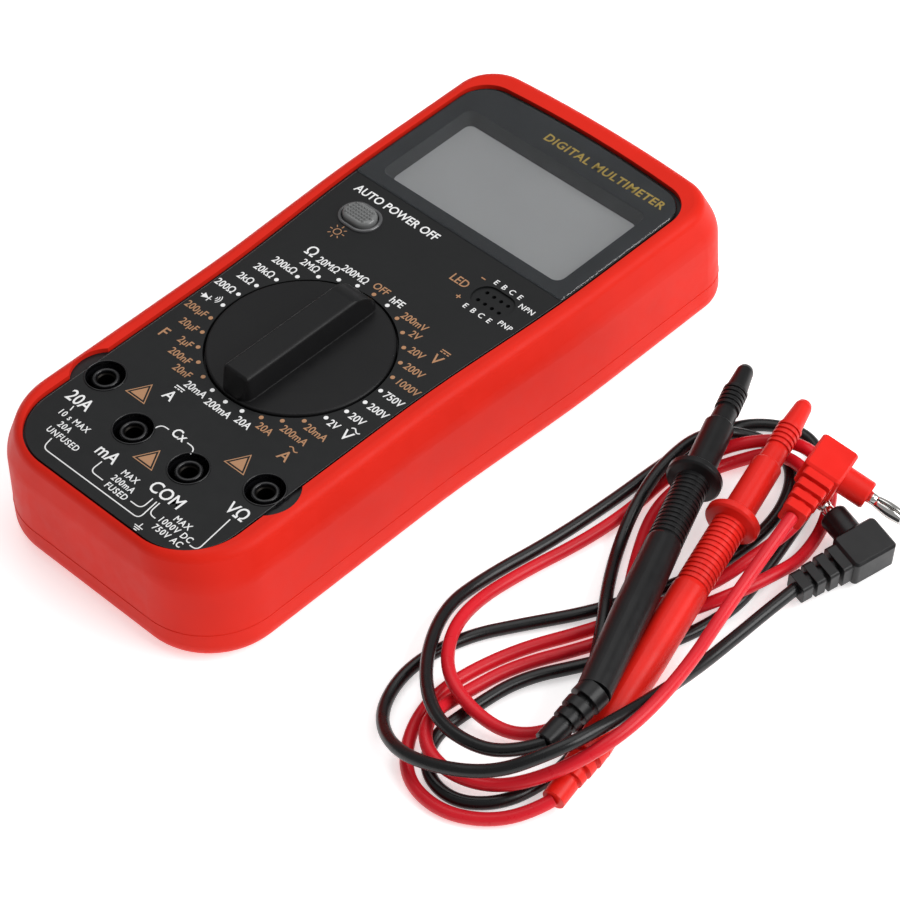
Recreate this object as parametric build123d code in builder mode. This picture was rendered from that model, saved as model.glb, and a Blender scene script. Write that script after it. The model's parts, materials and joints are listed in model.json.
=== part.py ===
from build123d import *
import os
from math import pi, radians, tan

# Hand-held digital multimeter in a soft holster, lying on its back, with its two test leads
# coiled beside it. Millimetres. The origin is on the surface under the meter's middle,
# +X to the meter's right, +Y towards its display end and +Z up out of its face.

os.makedirs("parts", exist_ok=True)

# ---------------------------------------------------------------- driving dimensions
# Heights of the stack, from the surface up
FLOOR_TOP = 2.2             # holster floor
CASE_BOTTOM = 2.3
SEAM_Z = 16.2               # joint between the two case halves
BOARD_BOTTOM, BOARD_TOP = 22.6, 24.2
CASE_TOP = 31.2
PANEL_TOP = 32.0            # printed face plate
LENS_TOP = 32.5
RIM_TOP = 32.6              # holster rim
BUTTON_TOP = 33.8
WALL = 2.2                  # moulded case walls

# Plan of the holster: the sides splay from the jack end to the display end
NARROW_Y, WIDE_Y = -10.0, 31.5
BEND_RADIUS = 400.0         # softens the two slight bends of each side
TOP_BULGE = 2.0             # how far the display end bows out in the middle
SHOULDER_Z = 24.4           # where the holster wall starts to roll over into the rim
# Half widths at the jack and display ends, the two ends themselves, and the corner radii there
BASE_PLAN = (40.4, 42.5, -90.3, 90.3, 20, 11)
RIM_PLAN = (37.6, 39.4, -88.5, 87.0, 21, 11.5)
POCKET_PLAN = (36.9, 38.7, -87.2, 86.1, 19, 11)
OPENING_PLAN = (33.4, 36.2, -87.1, 81.6, 16, 9)
CASE_PLAN = (36.7, 38.5, -87.0, 85.9, 18.8, 10.8)
HOLLOW_PLAN = (36.7 - WALL, 38.5 - WALL, -87.0 + WALL, 85.9 - WALL, 18.8 - WALL, 10.8 - WALL)
PLATE_PLAN = (32.4, 35.1, -86.3, 80.4, 14.5, 8)
LENS_LOW = 33.2             # lower edge of the display lens

# Range knob
KNOB_Y = -20.0
KNOB_RADIUS = 22.8
KNOB_TOP = 32.4             # top of the flush disc
BAR_TOP = 38.9              # top of the finger bar
BAR_WIDTH = 9.4             # across its foot
BAR_DRAFT = 5.5             # degrees that its sides lean in
BAR_BACK, BAR_TIP = KNOB_Y - 22.6, KNOB_Y + 22.3
LEDGE_RADIUS = 17.0         # case ledge held between the knob and the rotor
SHAFT_RADIUS = 5.0
RING_RADIUS = 20.6          # inside of the detent ring
POSITIONS = 30              # clicks in one turn

# Four 4 mm jacks, in the order 20 A, mA, common and volt
JACKS = {"20a": (-27.4, -57.7), "ma": (-9.5, -65.0), "com": (9.5, -65.0), "volt": (27.4, -57.7)}
BORE_RADIUS = 2.0
TUBE_RADIUS = 2.6
SLEEVE_RADIUS = 3.3
CUP_INNER, CUP_OUTER = 4.85, 5.9
CUP_BOTTOM = 12.5

# Button and transistor socket
BUTTON_AT = (-22.0, 21.5)
BUTTON_SIZE = (9.6, 6.8)
SOCKET_AT = (22.9, 22.0)
SOCKET_SIZE = (12.0, 7.8)

# Display
WINDOW_X, WINDOW_LOW, WINDOW_HIGH = 30.8, 36.2, 69.8
GLASS_Z = 26.9
GLASS_T = 1.8

# Battery bay and tilt stand, in the back
BAY_X, BAY_LOW, BAY_HIGH = 24.9, 50.9, 78.6
DOOR_X, DOOR_LOW, DOOR_HIGH = 25.2, 50.6, 83.8
DOOR_SCREW_Y = 81.0
HINGE_Y, HINGE_Z = 40.0, 4.7
STAND_X, STAND_TIP = 20.0, -41.0
STAND_PIN = 1.2

# Screws
CASE_SCREWS = ((-27.5, -78.5), (27.5, -78.5), (-31.0, 79.0), (31.0, 79.0))
BOARD_SCREWS = ((-31.0, 12.0), (31.0, 12.0))
RUNNING = 0.05              # radial clearance of what turns or slides

# Test leads
CORD = 3.2                  # diameter of a lead
PROBE_LENGTH = 112.0        # cap tip to the start of the strain relief
CAP_LENGTH = 21.5
NEEDLE_RADIUS = 1.0


def write(piece, name):
    """Name a finished piece and write it as its own file."""
    piece.part.label = name
    export_step(piece.part, f"parts/{name}.step")


def outline(sketch, low_half, high_half, bottom, top, low_radius, high_radius):
    """Draw the meter's plan in sketch: splayed sides, a flat jack end and a bowed display end."""
    side_top = top - TOP_BULGE
    with BuildLine() as border:
        Polyline(
            (-high_half, side_top), (-high_half, WIDE_Y), (-low_half, NARROW_Y), (-low_half, bottom),
            (low_half, bottom), (low_half, NARROW_Y), (high_half, WIDE_Y), (high_half, side_top),
        )
        ThreePointArc((high_half, side_top), (0, top), (-high_half, side_top))
    make_face(border.edges())
    fillet(sketch.vertices().group_by(Axis.Y)[0], radius=low_radius)
    fillet(sketch.vertices().group_by(Axis.Y)[-1], radius=high_radius)
    bends = sketch.vertices().filter_by(lambda v: abs(v.Y - NARROW_Y) < 0.01 or abs(v.Y - WIDE_Y) < 0.01)
    fillet(bends, radius=BEND_RADIUS)


def edges_at(piece, height):
    """Edges of piece that lie level at one height."""
    def level(edge):
        box = edge.bounding_box()
        return abs(box.min.Z - height) < 0.02 and abs(box.max.Z - height) < 0.02
    return piece.edges().filter_by(level)


# ---------------------------------------------------------------- holster
with BuildPart() as holster:
    with BuildSketch() as base:
        outline(base, *BASE_PLAN)
    extrude(amount=SHOULDER_Z, taper=1.4)
    shoulder = holster.faces().sort_by(Axis.Z)[-1]
    with BuildSketch(Plane.XY.offset(RIM_TOP)) as rim:
        outline(rim, *RIM_PLAN)
    loft(sections=[shoulder, rim.sketch.faces()[0]], ruled=True)
    fillet(edges_at(holster, SHOULDER_Z), radius=12)
    fillet(edges_at(holster, RIM_TOP), radius=3)
    fillet(edges_at(holster, 0), radius=5)
    with BuildSketch(Plane.XY.offset(FLOOR_TOP)) as pocket:
        outline(pocket, *POCKET_PLAN)
    extrude(amount=CASE_TOP + 0.1 - FLOOR_TOP, mode=Mode.SUBTRACT)
    with BuildSketch(Plane.XY.offset(CASE_TOP)) as opening:
        outline(opening, *OPENING_PLAN)
        with Locations(JACKS["20a"], JACKS["volt"]):
            Circle(8.6)
    extrude(amount=5, mode=Mode.SUBTRACT)
    # Window in the floor that the tilt stand swings through
    with BuildSketch():
        RectangleRounded(50, 100, 6)
    extrude(amount=FLOOR_TOP, mode=Mode.SUBTRACT)
write(holster, "holster")

# ---------------------------------------------------------------- rear case
with BuildPart() as rear_case:
    with BuildSketch(Plane.XY.offset(CASE_BOTTOM)) as base:
        outline(base, *CASE_PLAN)
    extrude(amount=SEAM_Z - CASE_BOTTOM)
    fillet(rear_case.edges().group_by(Axis.Z)[0], radius=1.2)
    with BuildSketch(Plane.XY.offset(CASE_BOTTOM + WALL)) as hollow:
        outline(hollow, *HOLLOW_PLAN)
    extrude(amount=SEAM_Z - CASE_BOTTOM - WALL, mode=Mode.SUBTRACT)
    # Roof and walls of the tilt stand's pocket
    with Locations((0, 0, CASE_BOTTOM)):
        Box(52, 97, 6.6, align=(Align.CENTER, Align.CENTER, Align.MIN))
    with Locations((0, 0.5, CASE_BOTTOM)):
        Box(43, 90, 4.7, align=(Align.CENTER, Align.CENTER, Align.MIN), mode=Mode.SUBTRACT)
    # Walls round the battery, with the door's opening beneath them
    with BuildSketch(Plane.XY.offset(CASE_BOTTOM + WALL)):
        with Locations((0, (BAY_LOW + BAY_HIGH) / 2)):
            Rectangle(2 * BAY_X + 4, BAY_HIGH - BAY_LOW + 3.2)
            Rectangle(2 * BAY_X, BAY_HIGH - BAY_LOW, mode=Mode.SUBTRACT)
    extrude(amount=11)
    with BuildSketch(Plane.XY.offset(CASE_BOTTOM)):
        with Locations((0, (DOOR_LOW + DOOR_HIGH) / 2)):
            RectangleRounded(2 * DOOR_X + 0.4, DOOR_HIGH - DOOR_LOW + 0.4, 1.5)
    extrude(amount=WALL, mode=Mode.SUBTRACT)
    with BuildSketch(Plane.XY.offset(CASE_BOTTOM + WALL)):
        with Locations((0, DOOR_SCREW_Y)):
            Circle(2.3)
            Rectangle(2.4, 3.4, align=(Align.CENTER, Align.MIN))
    extrude(amount=9)
    with BuildSketch(Plane.XY.offset(CASE_BOTTOM + WALL)):
        with Locations(CASE_SCREWS):
            Circle(3.6)
    extrude(amount=SEAM_Z - CASE_BOTTOM - WALL)
    with Locations([(x, y, CASE_BOTTOM) for x, y in CASE_SCREWS]):
        Cylinder(2.9, 3.2, align=(Align.CENTER, Align.CENTER, Align.MIN), mode=Mode.SUBTRACT)
        Cylinder(1.5, 30, align=(Align.CENTER, Align.CENTER, Align.MIN), mode=Mode.SUBTRACT)
    with Locations((0, DOOR_SCREW_Y, CASE_BOTTOM)):
        Cylinder(1.2, 9.7, align=(Align.CENTER, Align.CENTER, Align.MIN), mode=Mode.SUBTRACT)
    # Bores for the stand's two pins
    with Locations((0, HINGE_Y, HINGE_Z)):
        Cylinder(STAND_PIN + RUNNING, 2 * STAND_X + 7.2, rotation=(0, 90, 0), mode=Mode.SUBTRACT)
write(rear_case, "rear_case")

# ---------------------------------------------------------------- tilt stand
with BuildPart() as tilt_stand:
    with BuildSketch(Plane.XY.offset(3.0)):
        with Locations((0, (HINGE_Y + STAND_TIP) / 2)):
            Rectangle(2 * STAND_X, HINGE_Y - STAND_TIP)
        with Locations((0, -4)):
            RectangleRounded(16, 44, 5, mode=Mode.SUBTRACT)
        with Locations((0, STAND_TIP)):
            Circle(6, mode=Mode.SUBTRACT)
    extrude(amount=2.7)
    fillet(tilt_stand.edges().filter_by(Axis.Z).group_by(Axis.Y)[0], radius=1.5)
    with Locations((0, HINGE_Y, HINGE_Z)):
        Cylinder(1.9, 2 * STAND_X, rotation=(0, 90, 0))
        Cylinder(STAND_PIN, 2 * STAND_X + 6.4, rotation=(0, 90, 0))
write(tilt_stand, "tilt_stand")

# ---------------------------------------------------------------- front case
with BuildPart() as front_case:
    with BuildSketch(Plane.XY.offset(SEAM_Z)) as base:
        outline(base, *CASE_PLAN)
    extrude(amount=CASE_TOP - SEAM_Z)
    chamfer(front_case.edges().group_by(Axis.Z)[-1], length=0.5)
    with BuildSketch(Plane.XY.offset(SEAM_Z)) as hollow:
        outline(hollow, *HOLLOW_PLAN)
    extrude(amount=CASE_TOP - SEAM_Z - 2, mode=Mode.SUBTRACT)
    with BuildSketch(Plane.XY.offset(27.8)):
        with Locations((0, KNOB_Y)):
            Circle(25.2)
    extrude(amount=1.4)
    with BuildSketch(Plane.XY.offset(CASE_TOP - 2)):
        with Locations(*JACKS.values()):
            Circle(CUP_OUTER)
        with Locations((0, (WINDOW_LOW + WINDOW_HIGH) / 2)):
            RectangleRounded(2 * WINDOW_X + 0.2, WINDOW_HIGH - WINDOW_LOW + 0.2, 3)
        with Locations(BUTTON_AT):
            SlotOverall(BUTTON_SIZE[0] + 0.4, BUTTON_SIZE[1] + 0.4)
        with Locations(SOCKET_AT):
            SlotOverall(*SOCKET_SIZE)
        with Locations((0, KNOB_Y)):
            Circle(KNOB_RADIUS + 0.6)
    extrude(amount=2, mode=Mode.SUBTRACT)
    with Locations((0, KNOB_Y, 27.8)):
        Cylinder(LEDGE_RADIUS, 1.4, align=(Align.CENTER, Align.CENTER, Align.MIN), mode=Mode.SUBTRACT)
    with BuildSketch(Plane.XY.offset(SEAM_Z)):
        with Locations(CASE_SCREWS):
            Circle(3.6)
    extrude(amount=CASE_TOP - 2 - SEAM_Z)
    with BuildSketch(Plane.XY.offset(BOARD_TOP)):
        with Locations(BOARD_SCREWS):
            Circle(2.6)
    extrude(amount=CASE_TOP - 2 - BOARD_TOP)
    with Locations([(x, y, SEAM_Z) for x, y in CASE_SCREWS]):
        Cylinder(1.4, 10, align=(Align.CENTER, Align.CENTER, Align.MIN), mode=Mode.SUBTRACT)
    with Locations([(x, y, BOARD_TOP) for x, y in BOARD_SCREWS]):
        Cylinder(0.9, 3, align=(Align.CENTER, Align.CENTER, Align.MIN), mode=Mode.SUBTRACT)
write(front_case, "front_case")

# ---------------------------------------------------------------- face plate and display
with BuildPart() as face_plate:
    with BuildSketch(Plane.XY.offset(CASE_TOP)) as plate:
        outline(plate, *PLATE_PLAN)
        with Locations((0, KNOB_Y)):
            Circle(KNOB_RADIUS + 0.6, mode=Mode.SUBTRACT)
        with Locations(*JACKS.values()):
            Circle(CUP_INNER, mode=Mode.SUBTRACT)
        with Locations(BUTTON_AT):
            SlotOverall(BUTTON_SIZE[0] + 0.6, BUTTON_SIZE[1] + 0.6, mode=Mode.SUBTRACT)
        with Locations(SOCKET_AT):
            SlotOverall(*SOCKET_SIZE, mode=Mode.SUBTRACT)
        with Locations((0, (WINDOW_LOW + WINDOW_HIGH) / 2)):
            RectangleRounded(2 * WINDOW_X + 0.2, WINDOW_HIGH - WINDOW_LOW + 0.2, 3, mode=Mode.SUBTRACT)
    extrude(amount=PANEL_TOP - CASE_TOP)
write(face_plate, "face_plate")

with BuildPart() as display_lens:
    with BuildSketch(Plane.XY.offset(PANEL_TOP)) as plate:
        outline(plate, *PLATE_PLAN)
        with Locations((0, LENS_LOW)):
            Rectangle(90, 200, align=(Align.CENTER, Align.MAX), mode=Mode.SUBTRACT)
    extrude(amount=LENS_TOP - PANEL_TOP)
    chamfer(display_lens.edges().group_by(Axis.Z)[-1], length=0.2)
write(display_lens, "display_lens")

with BuildPart() as lcd_bezel:
    window_middle = (WINDOW_LOW + WINDOW_HIGH) / 2
    window_height = WINDOW_HIGH - WINDOW_LOW
    with BuildSketch(Plane.XY.offset(BOARD_TOP)):
        with Locations((0, window_middle)):
            RectangleRounded(2 * WINDOW_X, window_height, 3)
    extrude(amount=PANEL_TOP - 0.1 - BOARD_TOP)
    with BuildSketch(Plane.XY.offset(BOARD_TOP)):
        with Locations((0, window_middle)):
            Rectangle(2 * WINDOW_X - 2.8, window_height - 2.4)
    extrude(amount=GLASS_Z + GLASS_T - BOARD_TOP, mode=Mode.SUBTRACT)
    with BuildSketch(Plane.XY.offset(GLASS_Z + GLASS_T)) as foot:
        with Locations((0, window_middle)):
            RectangleRounded(57.6, 28.4, 2)
    with BuildSketch(Plane.XY.offset(PANEL_TOP - 0.1)) as mouth:
        with Locations((0, window_middle)):
            RectangleRounded(60.6, 32.2, 2.4)
    loft(sections=[foot.sketch.faces()[0], mouth.sketch.faces()[0]], ruled=True, mode=Mode.SUBTRACT)
write(lcd_bezel, "lcd_bezel")

with BuildPart() as lcd_glass:
    with Locations((0, window_middle, GLASS_Z)):
        Box(58.6, 31.0, GLASS_T, align=(Align.CENTER, Align.CENTER, Align.MIN))
write(lcd_glass, "lcd_glass")

with BuildPart() as backlight_panel:
    with Locations((0, window_middle, BOARD_TOP)):
        Box(55, 23, GLASS_Z - BOARD_TOP, align=(Align.CENTER, Align.CENTER, Align.MIN))
write(backlight_panel, "backlight_panel")

for index, side in enumerate((-1, 1), start=1):
    with BuildPart() as zebra_strip:
        with Locations((0, window_middle + side * 13.6, BOARD_TOP)):
            Box(54, 2.2, GLASS_Z - BOARD_TOP, align=(Align.CENTER, Align.CENTER, Align.MIN))
    write(zebra_strip, f"zebra_strip_{index}")

# ---------------------------------------------------------------- main board and what it carries
with BuildPart() as main_board:
    with BuildSketch(Plane.XY.offset(BOARD_BOTTOM)):
        with Locations((0, -73.5)):
            Rectangle(66.4, 146.5, align=(Align.CENTER, Align.MIN))
        with Locations(*JACKS.values()):
            Circle(CUP_OUTER + 0.2, mode=Mode.SUBTRACT)
        with Locations(BOARD_SCREWS):
            Circle(1.1, mode=Mode.SUBTRACT)
        with Locations((0, KNOB_Y)):
            Circle(2.5 + RUNNING, mode=Mode.SUBTRACT)
    extrude(amount=BOARD_TOP - BOARD_BOTTOM)
write(main_board, "main_board")

with BuildPart() as main_chip:
    with Locations((-8, 14, BOARD_BOTTOM)):
        Box(14, 14, 1.6, align=(Align.CENTER, Align.CENTER, Align.MAX))
        Box(17, 17, 0.4, align=(Align.CENTER, Align.CENTER, Align.MAX))
write(main_chip, "main_chip")

with BuildPart() as buzzer:
    with Locations((18.5, 12, BOARD_BOTTOM)):
        Cylinder(9, 6, align=(Align.CENTER, Align.CENTER, Align.MAX))
    with Locations((18.5, 12, BOARD_BOTTOM - 6)):
        Cylinder(1.2, 1.5, align=(Align.CENTER, Align.CENTER, Align.MIN), mode=Mode.SUBTRACT)
write(buzzer, "buzzer")

with BuildPart() as shunt_bar:
    with BuildLine():
        FilletPolyline(
            (-18, -46, BOARD_BOTTOM), (-18, -46, 15.5), (2, -46, 15.5), (2, -46, BOARD_BOTTOM), radius=2.5
        )
    with BuildSketch(Plane((-18, -46, BOARD_BOTTOM), x_dir=(1, 0, 0), z_dir=(0, 0, -1))):
        Circle(0.9)
    sweep()
write(shunt_bar, "shunt_bar")

FUSES = {"fuse_ma": (-19.0, 2.6), "fuse_20a": (19.0, 3.2)}
FUSE_Y, FUSE_Z, FUSE_LENGTH = -34.0, 17.6, 20.0
clip_number = 0
for name, (fuse_x, radius) in FUSES.items():
    with BuildPart() as fuse:
        with Locations((fuse_x, FUSE_Y, FUSE_Z)):
            Cylinder(radius - 0.3, FUSE_LENGTH, rotation=(0, 90, 0))
        with Locations((fuse_x - 7.5, FUSE_Y, FUSE_Z), (fuse_x + 7.5, FUSE_Y, FUSE_Z)):
            Cylinder(radius, 5, rotation=(0, 90, 0))
    write(fuse, name)
    for side in (-1, 1):
        clip_number += 1
        clip_x = fuse_x + side * 7.5
        with BuildPart() as fuse_clip:
            with Locations((clip_x, FUSE_Y, BOARD_BOTTOM)):
                Box(4, 2 * radius + 1.4, BOARD_BOTTOM - FUSE_Z + 1.8,
                    align=(Align.CENTER, Align.CENTER, Align.MAX))
            with Locations((clip_x, FUSE_Y, FUSE_Z)):
                Cylinder(radius, 5, rotation=(0, 90, 0), mode=Mode.SUBTRACT)
                Box(5, 2 * radius - 1, 12, align=(Align.CENTER, Align.CENTER, Align.MAX),
                    mode=Mode.SUBTRACT)
        write(fuse_clip, f"fuse_clip_{clip_number}")

with BuildPart() as button_switch:
    with Locations((*BUTTON_AT, BOARD_TOP)):
        Box(6, 6, 1.3, align=(Align.CENTER, Align.CENTER, Align.MIN))
        Cylinder(1.5, 1.8, align=(Align.CENTER, Align.CENTER, Align.MIN))
write(button_switch, "button_switch")

with BuildPart() as transistor_socket:
    with BuildSketch(Plane.XY.offset(BOARD_TOP)):
        with Locations(SOCKET_AT):
            SlotOverall(*SOCKET_SIZE)
    extrude(amount=PANEL_TOP - 0.5 - BOARD_TOP)
    with BuildSketch(Plane.XY.offset(PANEL_TOP - 6)):
        with Locations(SOCKET_AT):
            with GridLocations(2.3, 3.2, 4, 2):
                Circle(0.55)
    extrude(amount=6, mode=Mode.SUBTRACT)
write(transistor_socket, "transistor_socket")

# ---------------------------------------------------------------- jacks
with BuildPart() as jack_block:
    with BuildSketch(Plane.XY.offset(BOARD_TOP)):
        with Locations((0, -61.4)):
            RectangleRounded(58, 11, 2)
        with Locations(*JACKS.values()):
            Circle(CUP_OUTER)
    extrude(amount=1.8)
    with BuildSketch(Plane.XY.offset(CUP_BOTTOM)):
        with Locations(*JACKS.values()):
            Circle(CUP_OUTER)
    extrude(amount=CASE_TOP - CUP_BOTTOM)
    with BuildSketch(Plane.XY.offset(CUP_BOTTOM + 1.5)):
        with Locations(*JACKS.values()):
            Circle(CUP_INNER)
            Circle(SLEEVE_RADIUS, mode=Mode.SUBTRACT)
    extrude(amount=CASE_TOP - CUP_BOTTOM, mode=Mode.SUBTRACT)
    with BuildSketch(Plane.XY.offset(CUP_BOTTOM)):
        with Locations(*JACKS.values()):
            Circle(TUBE_RADIUS)
    extrude(amount=CASE_TOP - CUP_BOTTOM, mode=Mode.SUBTRACT)
write(jack_block, "jack_block")

for name, (jack_x, jack_y) in JACKS.items():
    with BuildPart() as jack_tube:
        with Locations((jack_x, jack_y, CUP_BOTTOM - 1.5)):
            Cylinder(TUBE_RADIUS, 19.6, align=(Align.CENTER, Align.CENTER, Align.MIN))
        with Locations((jack_x, jack_y, CUP_BOTTOM)):
            Cylinder(BORE_RADIUS, 25, align=(Align.CENTER, Align.CENTER, Align.MIN), mode=Mode.SUBTRACT)
        chamfer(jack_tube.edges().group_by(Axis.Z)[-1].sort_by(SortBy.LENGTH)[0], length=0.3)
    write(jack_tube, f"jack_tube_{name}")

# ---------------------------------------------------------------- range knob and switch
# Finger bar: upright sides with a little draft, a sloping back and a nose that falls away to the pointer
with BuildPart() as finger_bar:
    with BuildSketch(Plane.XY.offset(KNOB_TOP - 1)):
        with Locations((0, (BAR_BACK + BAR_TIP) / 2)):
            RectangleRounded(BAR_WIDTH, BAR_TIP - BAR_BACK, 3)
    extrude(amount=BAR_TOP + 1 - KNOB_TOP, taper=BAR_DRAFT)
    with BuildSketch(Plane.YZ):
        with BuildLine():
            Polyline((BAR_TIP, KNOB_TOP), (BAR_TIP, KNOB_TOP - 1), (BAR_BACK, KNOB_TOP - 1),
                     (BAR_BACK, KNOB_TOP), (BAR_BACK + 2.2, BAR_TOP), (BAR_TIP - 10.6, BAR_TOP))
            ThreePointArc((BAR_TIP - 10.6, BAR_TOP), (BAR_TIP - 3.6, BAR_TOP - 1.7), (BAR_TIP, KNOB_TOP))
        make_face()
    extrude(amount=BAR_WIDTH, both=True, mode=Mode.INTERSECT)
    fillet(finger_bar.faces().sort_by(Axis.Z)[-1].edges(), radius=0.8)

with BuildPart() as range_knob:
    with Locations((0, KNOB_Y, 29.6)):
        Cylinder(KNOB_RADIUS, KNOB_TOP - 29.6, align=(Align.CENTER, Align.CENTER, Align.MIN))
    fillet(range_knob.edges().group_by(Axis.Z)[-1], radius=0.5)
    add(finger_bar.part)
    with Locations((0, KNOB_Y, 25.2)):
        Cylinder(SHAFT_RADIUS, 4.6, align=(Align.CENTER, Align.CENTER, Align.MIN))
    with Locations((0, KNOB_Y, 22.8)):
        Cylinder(2.5, 2.6, align=(Align.CENTER, Align.CENTER, Align.MIN))
write(range_knob, "range_knob")

with BuildPart() as switch_rotor:
    with Locations((0, KNOB_Y, 25.2)):
        Cylinder(19.2, 2.3, align=(Align.CENTER, Align.CENTER, Align.MIN))
        Cylinder(SHAFT_RADIUS, 2.3, align=(Align.CENTER, Align.CENTER, Align.MIN), mode=Mode.SUBTRACT)
write(switch_rotor, "switch_rotor")

for index, angle in enumerate((90, 210, 330), start=1):
    with BuildPart() as wiper:
        with BuildSketch(Plane.XY.offset(24.8)):
            with Locations((0, KNOB_Y)):
                with PolarLocations(11, 1, start_angle=angle):
                    RectangleRounded(9, 2.4, 1)
        extrude(amount=0.4)
        with BuildSketch(Plane.XY.offset(24.3)):
            with Locations((0, KNOB_Y)):
                with PolarLocations(8, 1, start_angle=angle):
                    Circle(0.8)
                with PolarLocations(14, 1, start_angle=angle):
                    Circle(0.8)
        extrude(amount=0.5)
    write(wiper, f"wiper_contact_{index}")

with BuildPart() as detent_ring:
    with BuildSketch(Plane.XY.offset(BOARD_TOP)):
        with Locations((0, KNOB_Y)):
            Circle(RING_RADIUS + 2)
            Circle(RING_RADIUS, mode=Mode.SUBTRACT)
            with PolarLocations(RING_RADIUS, POSITIONS):
                Circle(0.7, mode=Mode.SUBTRACT)
    extrude(amount=27.6 - BOARD_TOP)
write(detent_ring, "detent_ring")

# ---------------------------------------------------------------- button
with BuildPart() as backlight_button:
    with BuildSketch(Plane.XY.offset(27.4)):
        with Locations(BUTTON_AT):
            SlotOverall(BUTTON_SIZE[0] + 2, BUTTON_SIZE[1] + 2)
    extrude(amount=1.2)
    with BuildSketch(Plane.XY.offset(28.6)):
        with Locations(BUTTON_AT):
            SlotOverall(*BUTTON_SIZE)
    extrude(amount=BUTTON_TOP - 28.6)
    fillet(backlight_button.edges().group_by(Axis.Z)[-1], radius=1.0)
write(backlight_button, "backlight_button")

# ---------------------------------------------------------------- battery and its door
BATTERY_Y = (BAY_LOW + BAY_HIGH) / 2
with BuildPart() as battery:
    with Locations((-1.8, BATTERY_Y, 4.8)):
        Box(45, 26.2, 17.2, align=(Align.CENTER, Align.CENTER, Align.MIN))
    fillet(battery.edges().filter_by(Axis.X), radius=2)
    for offset in (-6.4, 6.4):
        with Locations((20.7, BATTERY_Y + offset, 13.4)):
            Cylinder(3, 1.9, rotation=(0, 90, 0), align=(Align.CENTER, Align.CENTER, Align.MIN))
write(battery, "battery")

with BuildPart() as battery_snap:
    with Locations((22.6, BATTERY_Y, 13.4)):
        Box(1.8, 24, 9, align=(Align.MIN, Align.CENTER, Align.CENTER))
write(battery_snap, "battery_snap")

with BuildPart() as battery_door:
    with BuildSketch(Plane.XY.offset(2.5)):
        with Locations((0, (DOOR_LOW + DOOR_HIGH) / 2)):
            RectangleRounded(2 * DOOR_X, DOOR_HIGH - DOOR_LOW, 1.3)
    extrude(amount=2.0)
    with Locations((0, DOOR_SCREW_Y, 2.5)):
        Cylinder(1.3, 2, align=(Align.CENTER, Align.CENTER, Align.MIN), mode=Mode.SUBTRACT)
        Cylinder(2.5, 1.1, align=(Align.CENTER, Align.CENTER, Align.MIN), mode=Mode.SUBTRACT)
write(battery_door, "battery_door")


def screw(x, y, head_bottom, head_height, head_radius, shank_radius, shank_top):
    """A pan-head screw driven upwards, with a cross recess in its head."""
    with Locations((x, y, head_bottom)):
        Cylinder(head_radius, head_height, align=(Align.CENTER, Align.CENTER, Align.MIN))
        Cylinder(shank_radius, shank_top - head_bottom, align=(Align.CENTER, Align.CENTER, Align.MIN))
        Box(head_radius * 1.1, 0.6, head_height * 0.5,
            align=(Align.CENTER, Align.CENTER, Align.MIN), mode=Mode.SUBTRACT)
        Box(0.6, head_radius * 1.1, head_height * 0.5,
            align=(Align.CENTER, Align.CENTER, Align.MIN), mode=Mode.SUBTRACT)


with BuildPart() as door_screw:
    screw(0, DOOR_SCREW_Y, 2.6, 1.0, 2.3, 1.1, 11.5)
write(door_screw, "door_screw")

for index, (screw_x, screw_y) in enumerate(CASE_SCREWS, start=1):
    with BuildPart() as case_screw:
        screw(screw_x, screw_y, 3.4, 2.1, 2.7, 1.4, 25.5)
    write(case_screw, f"case_screw_{index}")

for index, (screw_x, screw_y) in enumerate(BOARD_SCREWS, start=1):
    with BuildPart() as board_screw:
        screw(screw_x, screw_y, BOARD_BOTTOM - 1.3, 1.3, 2.1, 0.9, 27.0)
    write(board_screw, f"board_screw_{index}")


# ---------------------------------------------------------------- test leads
def along(start, towards):
    """Plane at start whose X axis runs towards a point, for turned profiles."""
    direction = (Vector(*towards) - Vector(*start)).normalized()
    return Plane(start, x_dir=direction, z_dir=direction.cross(Vector(0, 0, 1)))


def turned(plane, profile, mode=Mode.ADD):
    """Revolve a profile of (distance along, radius) pairs about the plane's X axis."""
    with BuildSketch(plane) as half:
        with BuildLine():
            Polyline((profile[0][0], 0), *profile, (profile[-1][0], 0), close=True)
        make_face()
    revolve(half.sketch.faces(), axis=Axis(plane.origin, plane.x_dir), mode=mode)


def ribs(first, pitch, count, foot, crest, groove_share=0.4):
    """Profile of count rings, each a step out to crest and back to foot."""
    steps = []
    for index in range(count):
        start = first + index * pitch
        end = start + pitch * (1 - groove_share)
        steps += [(start, foot), (start, crest), (end, crest), (end, foot)]
    return steps


CAP_PROFILE = [(0, 1.2), (0.5, 1.75), (1.5, 2.15), (8.6, 2.75)]
CAP_PROFILE += ribs(9.0, 1.5, 5, 2.7, 3.1)
CAP_PROFILE += [(17.4, 2.9), (CAP_LENGTH, 3.1)]

GUARD_START, GUARD_END, GUARD_RADIUS = 39.4, 41.8, 6.8
BODY_PROFILE = [(CAP_LENGTH + 0.1, 3.5), (CAP_LENGTH + 0.5, 3.75), (GUARD_START - 0.6, 3.85),
                (GUARD_START, GUARD_RADIUS - 0.5), (GUARD_START + 0.5, GUARD_RADIUS),
                (GUARD_END - 0.5, GUARD_RADIUS), (GUARD_END, GUARD_RADIUS - 0.5)]
BODY_PROFILE += ribs(42.4, 1.45, 14, 3.95, 4.25)
BODY_PROFILE += [(63.5, 4.35), (85, 4.6), (105, 4.25), (PROBE_LENGTH, 4.1)]

RELIEF_PROFILE = [(-0.6, 4.0), (3.0, 4.0), (3.0, 2.5), (4.3, 2.5), (4.3, 3.7), (6.6, 3.6), (6.6, 2.4),
                  (7.8, 2.4), (7.8, 3.3), (9.8, 3.2), (9.8, 2.3), (10.8, 2.3), (10.8, 2.9)]

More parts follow.
